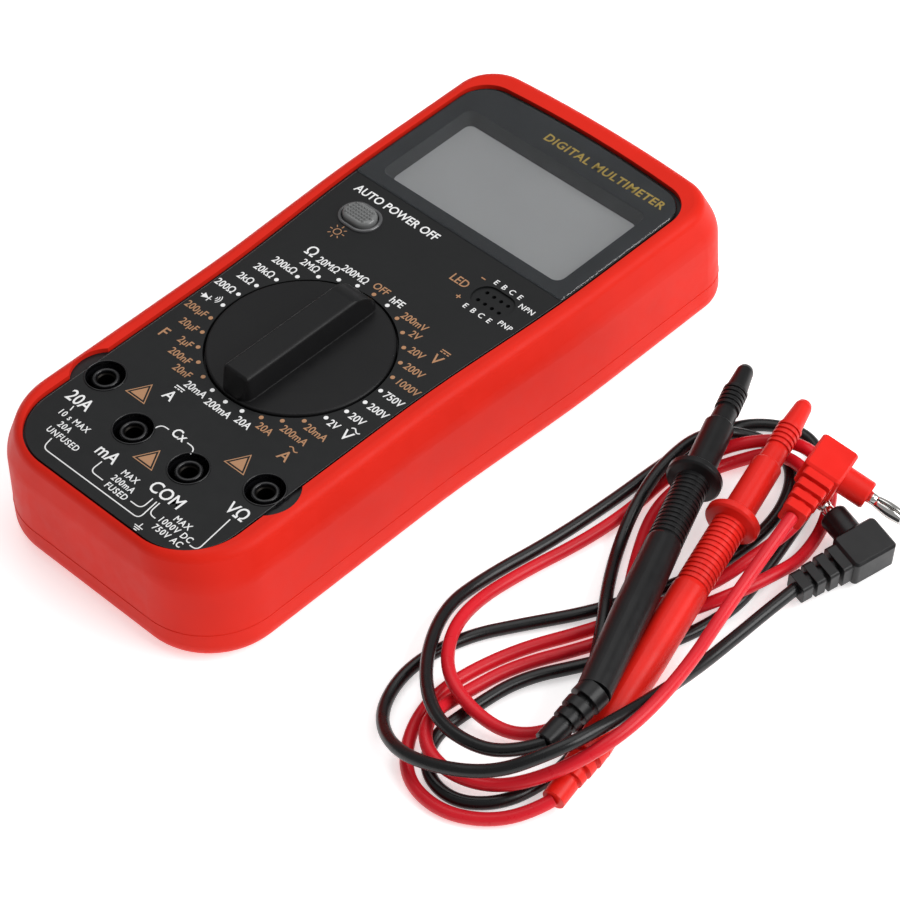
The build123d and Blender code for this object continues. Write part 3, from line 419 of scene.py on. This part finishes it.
def plug_spring(colour):
    """Bright plug pin: a core, four bowed leaf springs with slots between them, and a tip."""
    way = Vector(PIN_WAYS[colour]).normalized()
    corners = [vertex.co / MM for vertex in nodes[f"{colour}_plug_pin"].data.vertices]
    nearest = min(corner.dot(way) for corner in corners)
    foot_ring = [corner for corner in corners if corner.dot(way) < nearest + 0.05]
    foot_low = Vector(min(corner[axis] for corner in foot_ring) for axis in range(3))
    foot_high = Vector(max(corner[axis] for corner in foot_ring) for axis in range(3))
    foot = (foot_low + foot_high) / 2
    across = way.cross(Vector((0, 0, 1))).normalized()
    up = across.cross(way)
    points, faces = [], []

    def put(distance, radius, angle):
        out = across * math.cos(angle) + up * math.sin(angle)
        points.append(foot + way * distance + out * radius)

    def shell(profile, first, last, steps):
        """Closed strip: a closed profile of (distance, radius) pairs turned from first to last."""
        start, count = len(points), len(profile)
        for step in range(steps + 1):
            for distance, radius in profile:
                put(distance, radius, first + (last - first) * step / steps)
        for step in range(steps):
            for index in range(count):
                here, onward = start + step * count, (index + 1) % count
                faces.append((here + index, here + onward, here + count + onward, here + count + index))
        faces.append(tuple(start + index for index in range(count)))
        faces.append(tuple(start + steps * count + index for index in reversed(range(count))))

    start, end = LEAF_STATIONS[0], LEAF_STATIONS[-1]
    bowed = [(station, LEAF_RADIUS + LEAF_BOW * math.sin(math.pi * (station - start) / (end - start)))
             for station in LEAF_STATIONS]
    leaf = bowed + [(station, radius - LEAF_THICKNESS) for station, radius in reversed(bowed)]
    for quarter in range(4):
        middle = math.pi / 2 * quarter + FIRST_LEAF
        shell(leaf, middle - LEAF_HALF_ANGLE, middle + LEAF_HALF_ANGLE, 6)
    for profile in (PIN_FOOT, PIN_CORE, PIN_TIP):
        shell(profile, 0, ALMOST_ROUND, 32)
    piece = mesh_piece(f"{colour}_plug_springs", points, faces)
    for polygon in piece.data.polygons:
        polygon.use_smooth = len(polygon.vertices) == 4
    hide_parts(f"{colour}_plug_pin")
    return finished(piece, "test_leads", nickel)


LEADS = {"black": (BLACK_ROUTE, 0.764, lead_black), "red": (RED_ROUTE, 0.724, lead_red)}
for colour, (route, length, finish) in LEADS.items():
    springs = plug_spring(colour)
    lead = lead_cord(f"{colour}_test_lead", route, finish)
    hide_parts(f"{colour}_lead")
    finished(lead, "test_leads", finish)

# ---------------------------------------------------------------- holster, panel and lens edges
SEAM_HEIGHT = 9.0
seam = line(section("holster", SEAM_HEIGHT), 0.22, closed=True)
finished(joined("holster_mould_seam", [seam]), "meter", holster_red)
plate_edge = line(section("face_plate", PANEL - 0.1), 0.3, closed=True)
finished(joined("panel_edge_bead", [plate_edge]), "meter", glossy_black)

WINDOW = ((0, 53.0), 60.6, 32.2, 2.4)       # centre, width, height and corner radius of the display
MASK_SHARE = 0.996                          # keeps the mask's edge just inside the lens
lens_outline = [point * MASK_SHARE for point in section("display_lens", LENS_BOTTOM + 0.1)]
mask = flat([lens_outline, rounded_box(*WINDOW)], LENS_BOTTOM + 0.05, 0.03)
finished(joined("lens_mask", [mask]), "meter", mask_grey)

# ---------------------------------------------------------------- jack and button rims
for jack in JACKS:
    centre = middle_of(f"jack_tube_{jack}")
    rim_profile = rounded_profile(inner=4.78, outer=5.2, bottom=PANEL - 0.9, top=PANEL + 0.25, roll=0.2)
    rim = ring(f"jack_rim_{jack}", centre, 0, rim_profile)
    finished(rim, "meter", glossy_black)
    lip_profile = rounded_profile(inner=2.4, outer=3.28, bottom=PANEL - 1.6, top=PANEL - 0.5, roll=0.35)
    lip = ring(f"jack_lip_{jack}", centre, 0, lip_profile)
    finished(lip, "meter", glossy_black)

BUTTON_AT = middle_of("backlight_button")
BUTTON_STRAIGHT = 2.8
frame_profile = rounded_profile(inner=3.6, outer=4.6, bottom=PANEL - 0.4, top=PANEL + 0.6, roll=0.45)
frame_ring = ring("button_frame", BUTTON_AT, BUTTON_STRAIGHT, frame_profile)
finished(frame_ring, "meter", rim_grey)


def knurl(centre, straight, radius, pitch, bottom, rise):
    """Grid of small pyramids that fills an oval."""
    points, faces = [], []
    columns = int((straight / 2 + radius) / pitch)
    rows = int(radius / pitch)
    for column in range(-columns, columns + 1):
        for row in range(-rows, rows + 1):
            x, y = column * pitch, row * pitch
            if math.hypot(max(abs(x) - straight / 2, 0), y) > radius - pitch * 0.6:
                continue
            first = len(points)
            half = pitch / 2
            for dx, dy in ((half, 0), (0, half), (-half, 0), (0, -half)):
                points.append((centre[0] + x + dx, centre[1] + y + dy, bottom))
            points.append((centre[0] + x, centre[1] + y, bottom + rise))
            faces += [(first + k, first + (k + 1) % 4, first + 4) for k in range(4)]
            faces.append((first + 3, first + 2, first + 1, first))
    return mesh_piece("button_knurl", points, faces)


grip = knurl(BUTTON_AT, BUTTON_STRAIGHT, radius=3.1, pitch=0.95, bottom=BUTTON - 0.02, rise=0.5)
finished(grip, "button", button_silver)

# ---------------------------------------------------------------- printed panel
INK = 0.04          # thickness of the print
FONT_CAP = 0.70     # height of a capital as a share of the font's size


def words(text, x, y, cap, weight=0.0, width=1.0, align="CENTER", height=PANEL, spacing=1.0):
    """Flat lettering centred on y, with capitals of height cap."""
    curve = bpy.data.curves.new("words", "FONT")
    curve.body = text
    curve.size = cap / FONT_CAP * MM
    curve.align_x = align
    curve.align_y = "BOTTOM_BASELINE"
    curve.space_character = spacing
    curve.offset = weight * MM
    curve.resolution_u = 3
    curve.extrude = INK / 2 * MM
    piece = linked("words", curve)
    piece.scale.x = width
    piece.location = Vector((x, y - cap / 2, height + INK / 2)) * MM
    return piece


def bar(x, y, length, thickness=0.34):
    """Short level bar of ink."""
    half, rise = length / 2, thickness / 2
    return flat([[(x - half, y - rise), (x + half, y - rise), (x + half, y + rise), (x - half, y + rise)]],
                PANEL, INK)


def stroke(points, thickness=0.36):
    """Line of ink through points, flat on the panel."""
    thread = line([(x, y, 0) for x, y in points], thickness)
    thread.scale.z = INK / thickness * 2
    thread.location.z = PANEL * MM
    return thread


def bend(centre, radius, first, last, steps=8):
    """Points of an arc, with its angles in degrees."""
    return [(centre[0] + radius * math.cos(math.radians(first + (last - first) * step / steps)),
             centre[1] + radius * math.sin(math.radians(first + (last - first) * step / steps)))
            for step in range(steps + 1)]


SIGN_WIDTH = 2.8    # of the two signs for current


def direct(x, y):
    """Direct-current sign: a bar over three dashes."""
    dashes = [bar(x + step * SIGN_WIDTH * 0.37, y - 0.25, SIGN_WIDTH * 0.24) for step in (-1, 0, 1)]
    return [bar(x, y + 0.45, SIGN_WIDTH), *dashes]


def alternating(x, y, steps=16):
    """Alternating-current sign: one wave."""
    shares = [step / steps for step in range(steps + 1)]
    return [stroke([(x + SIGN_WIDTH * (share - 0.5), y + 0.4 * math.sin(2 * math.pi * share))
                    for share in shares])]


DIAL_CENTRE, DIAL_RADIUS = (0.0, -20.0), 24.5
LABEL_CAP = 2.15
WHITE, COPPER = "white", "copper"
# Clockwise from the top of the dial: colour and labels of each run of positions
DIAL = [
    (COPPER, ["OFF"]), (WHITE, ["hFE"]), (COPPER, ["200mV", "2V", "20V", "200V", "1000V"]),
    (WHITE, ["750V", "200V", "20V", "2V"]), (COPPER, ["20mA", "200mA", "20A"]),
    (WHITE, ["20A", "200mA", "20mA"]), (COPPER, ["20nF", "200nF", "2µF", "20µF", "200µF"]),
    (WHITE, ["", "200Ω", "2kΩ", "20kΩ", "200kΩ", "2MΩ", "20MΩ", "200MΩ"]),
]
# Where a label's near end stands from its dot, at the positions where labels crowd the dial's two ends
END_GAPS = {1: -1.0, 2: 0.0, 13: 1.0, 14: 0.7, 16: 0.3, 17: -2.3, 28: -2.1, 29: 1.0}


def label_place(index):
    """Gap in millimetres and alignment of the label at a dial position, counted from the top."""
    if index in (0, 15):
        return (0.3 if index else 0.0), "CENTER"
    side = 1 if index < 15 else -1
    return END_GAPS.get(index, 1.4 * side), ("LEFT" if side > 0 else "RIGHT")


LABEL_RISE = 2.6    # how far the labels at the dial's two ends stand off it
prints = {WHITE: [], COPPER: []}
positions = [(ink, label) for ink, labels in DIAL for label in labels]
for index, (ink, label) in enumerate(positions):
    angle = 2 * math.pi * index / len(positions)
    aside, along = math.sin(angle), math.cos(angle)
    dot = (DIAL_CENTRE[0] + DIAL_RADIUS * aside, DIAL_CENTRE[1] + DIAL_RADIUS * along)
    prints[ink].append(flat([oval(dot, 0, 0.58, 12)], PANEL, INK))
    if not label:
        continue
    gap, align = label_place(index)
    off_dial = LABEL_RISE * along ** 3
    prints[ink].append(words(label, dot[0] + gap, dot[1] + off_dial, LABEL_CAP, weight=0.035, width=0.9,
                             align=align))

# Diode and buzzer sign beside its dot
DIODE_X, DIODE_Y = -29.3, -23.2
arrow = [(DIODE_X - 1.3, DIODE_Y + 0.9), (DIODE_X + 0.5, DIODE_Y), (DIODE_X - 1.3, DIODE_Y - 0.9)]
prints[WHITE] += [
    flat([arrow], PANEL, INK),
    stroke([(DIODE_X + 0.6, DIODE_Y + 1), (DIODE_X + 0.6, DIODE_Y - 1)], 0.3),
    stroke([(DIODE_X - 2, DIODE_Y), (DIODE_X + 1.4, DIODE_Y)], 0.28),
]
buzzer = (DIODE_X + 1.6, DIODE_Y + 1.3)
prints[WHITE] += [stroke(bend(buzzer, radius, -50, 50), 0.26) for radius in (0.5, 1.1, 1.7)]

# Quantity signs outside the dial
QUANTITIES = [
    (WHITE, "Ω", -22.0, 5.1), (COPPER, "F", -28.0, -38.3), (WHITE, "A", -11.2, -51.8),
    (COPPER, "A", 23.0, -47.2), (WHITE, "V", 28.8, -33.0), (COPPER, "V", 26.8, -1.2),
]
QUANTITY_CAP = 3.1
for ink, sign, x, y in QUANTITIES:
    prints[ink].append(words(sign, x, y, QUANTITY_CAP, weight=0.04))
prints[WHITE] += direct(-11.2, -48.9)
prints[COPPER] += alternating(23.0, -44.5)
prints[WHITE] += alternating(29.4, -30.6)
prints[COPPER] += direct(26.8, 1.7)

# Jack names, and the lines that group the jacks
JACK_CAP, RATING_CAP = 3.5, 1.75
JACK_NAMES = [
    ("20A", -25.7, -67.2, JACK_CAP), ("mA", -7.7, -74.4, JACK_CAP), ("COM", 12.0, -73.9, JACK_CAP),
    ("VΩ", 27.8, -66.6, JACK_CAP), ("Cx", 0.1, -59.0, 2.7),
]
RATINGS = [
    ("10 s MAX", -21.7, -72.6), ("20A", -21.7, -75.4), ("UNFUSED", -19.2, -78.2),
    ("MAX", 1.5, -75.8), ("200mA", 2.0, -78.4), ("FUSED", 2.5, -81.0),
    ("MAX", 21.1, -77.4), ("1000V DC", 21.4, -79.9), ("750V AC", 21.4, -82.4),
]
for name, x, y, cap in JACK_NAMES:
    prints[WHITE].append(words(name, x, y, cap, weight=0.05, width=0.9))
for text, x, y in RATINGS:
    prints[WHITE].append(words(text, x, y, RATING_CAP, weight=0.035, width=0.88, spacing=1.16))


def bracket(start, corners, end, radius=1.7, steps=6):
    """Points of a line from start to end that is rounded at its corners."""
    points = [Vector(start)]
    for before, here, after in zip([start, *corners], corners, [*corners[1:], end]):
        arriving = (Vector(here) - Vector(before)).normalized()
        leaving = (Vector(after) - Vector(here)).normalized()
        for step in range(steps + 1):
            share = step / steps
            first = Vector(here) - arriving * radius * (1 - share)
            second = Vector(here) + leaving * radius * share
            points.append(first.lerp(second, share))
    return [*points, Vector(end)]


# Start, corners and end of each line between the jack names and the ratings
BRACKETS = [
    ((-21.3, -79.9), [(-20.6, -83.3), (12.6, -83.3)], (11.8, -77.0)),
    ((-7.0, -77.0), [(-6.9, -80.8)], (-2.4, -80.8)),
    ((7.2, -80.9), [(10.7, -80.9)], (10.4, -76.9)),
    ((12.6, -76.8), [(13.0, -80.7)], (15.4, -80.7)),
    ((28.2, -69.4), [(29.6, -81.0)], (27.2, -81.0)),
    ((-5.9, -61.6), [(-5.7, -59.6)], (-3.1, -59.6)),
    ((3.2, -59.6), [(6.0, -59.6)], (6.4, -61.6)),
    ((-25.4, -69.5), [], (-25.0, -71.0)),
]
for start, corners, end in BRACKETS:
    prints[WHITE].append(stroke(bracket(start, corners, end), 0.34))

# Earth sign under the common jack, and plain triangles between the jacks
EARTH_X, EARTH_Y, EARTH_STEM = 14.5, -83.7, 1.3
earth_foot = EARTH_Y - EARTH_STEM
prints[WHITE] += [stroke([(EARTH_X, EARTH_Y), (EARTH_X, earth_foot)], 0.3)]
prints[WHITE] += [bar(EARTH_X, earth_foot - 0.55 * step, 2.6 - 0.8 * step, 0.26) for step in range(3)]


def triangle(centre, size):
    """Corners of an upright triangle, size from its middle to a corner."""
    return [(centre[0] + size * math.sin(turn), centre[1] + size * math.cos(turn))
            for turn in (0, 2 * math.pi / 3, 4 * math.pi / 3)]


# Sizes of a triangle's outline, of the gap inside it and of its filled middle
TRIANGLE_EDGE, TRIANGLE_GAP, TRIANGLE_FILL = 3.9, 3.4, 2.5
for centre in ((-16.9, -56.0), (0.4, -69.3), (17.1, -56.0)):
    prints[COPPER].append(flat([triangle(centre, TRIANGLE_EDGE), triangle(centre, TRIANGLE_GAP)], PANEL, INK))
    prints[COPPER].append(flat([triangle(centre, TRIANGLE_FILL)], PANEL, INK))

# Button, socket and heading
prints[WHITE].append(words("AUTO POWER OFF", -16.6, 29.0, 2.5, weight=0.05, width=0.92))
SUN = (-22.6, 14.2)
prints[COPPER].append(stroke(bend(SUN, 1.0, 0, 360, 16), 0.3))
for degrees in range(0, 360, 45):
    ray = [bend(SUN, radius, degrees, degrees, 1)[0] for radius in (1.6, 2.4)]
    prints[COPPER].append(stroke(ray, 0.3))
SOCKET_X, SOCKET_Y, SOCKET_CAP, LETTER_PITCH = 22.9, 22.0, 1.6, 2.6
for step, letter in enumerate("EBCE"):
    letter_x = SOCKET_X + LETTER_PITCH * (step - 1.5)
    for letter_y in (SOCKET_Y + 5.4, SOCKET_Y - 5.4):
        prints[WHITE].append(words(letter, letter_x, letter_y, SOCKET_CAP, weight=0.02))
for kind, y in (("NPN", 25.4), ("PNP", 17.9)):
    prints[WHITE].append(words(kind, 30.9, y, SOCKET_CAP, weight=0.02, width=0.95, spacing=1.1))
PLUS_X, PLUS_Y, PLUS_HALF = 15.5, 17.7, 0.7
prints[COPPER] += [words("LED", 12.0, 21.9, 2.5, weight=0.03, width=0.9), bar(15.7, 26.2, 1.3),
                   bar(PLUS_X, PLUS_Y, 2 * PLUS_HALF),
                   stroke([(PLUS_X, PLUS_Y - PLUS_HALF), (PLUS_X, PLUS_Y + PLUS_HALF)], 0.34)]

finished(joined("panel_print_white", prints[WHITE]), "meter", ink_white)
finished(joined("panel_print_copper", prints[COPPER]), "meter", ink_copper)
heading = words("DIGITAL MULTIMETER", 11.2, 74.1, 2.6, weight=0.07, height=LENS_BOTTOM + 0.1, spacing=1.1)
finished(joined("lens_heading", [heading]), "meter", ink_gold)

# ---------------------------------------------------------------- floor, light and camera
REACH = 4.0
corners = [(-REACH, -REACH, 0), (REACH, -REACH, 0), (REACH, REACH, 0), (-REACH, REACH, 0)]
floor_mesh = bpy.data.meshes.new("floor")
floor_mesh.from_pydata(corners, [], [(0, 1, 2, 3)])
floor = linked("floor", floor_mesh)
floor_white, floor_tree, floor_shader = new_material("floor_white")
floor_shader.inputs["Base Color"].default_value = (0.9, 0.9, 0.9, 1)
floor_shader.inputs["Roughness"].default_value = 0.9
floor_shader.inputs["Emission Color"].default_value = (1, 1, 1, 1)
floor_shader.inputs["Emission Strength"].default_value = 0.5
floor.data.materials.append(floor_white)

world = bpy.data.worlds.new("studio")
bpy.context.scene.world = world
world.use_nodes = True
background = world.node_tree.nodes["Background"]
background.inputs["Color"].default_value = (1, 1, 1, 1)
background.inputs["Strength"].default_value = 0.34


def soft_box(name, place, size, power):
    """Rectangular area light at place, turned towards the origin."""
    lamp = bpy.data.lights.new(name, "AREA")
    lamp.shape = "RECTANGLE"
    lamp.size, lamp.size_y = size
    lamp.energy = power
    light = linked(name, lamp)
    light.location = place
    light.rotation_mode = "QUATERNION"
    light.rotation_quaternion = (-Vector(place)).to_track_quat("-Z", "Y")


soft_box("key", place=(0.95, 0.45, 0.85), size=(1.1, 0.8), power=15)
soft_box("overhead", place=(-0.2, 0.3, 1.3), size=(1.2, 1.2), power=7)

CAMERA_AT = Vector((0.4553, -0.4038, 0.6127))
CAMERA_WAY = Vector((-0.50342, 0.47622, -0.72096))
CAMERA_ROLL = math.radians(-3.06)
lens = bpy.data.cameras.new("camera")
lens.lens = 140
lens.sensor_width = 36
lens.clip_start = 0.01
lens.clip_end = 20
camera = linked("camera", lens)
turn = CAMERA_WAY.to_track_quat("-Z", "Y").to_matrix() @ Matrix.Rotation(CAMERA_ROLL, 3, "Z")
camera.matrix_world = Matrix.Translation(CAMERA_AT) @ turn.to_4x4()
bpy.context.scene.camera = camera
bpy.context.scene.view_settings.view_transform = "Standard"
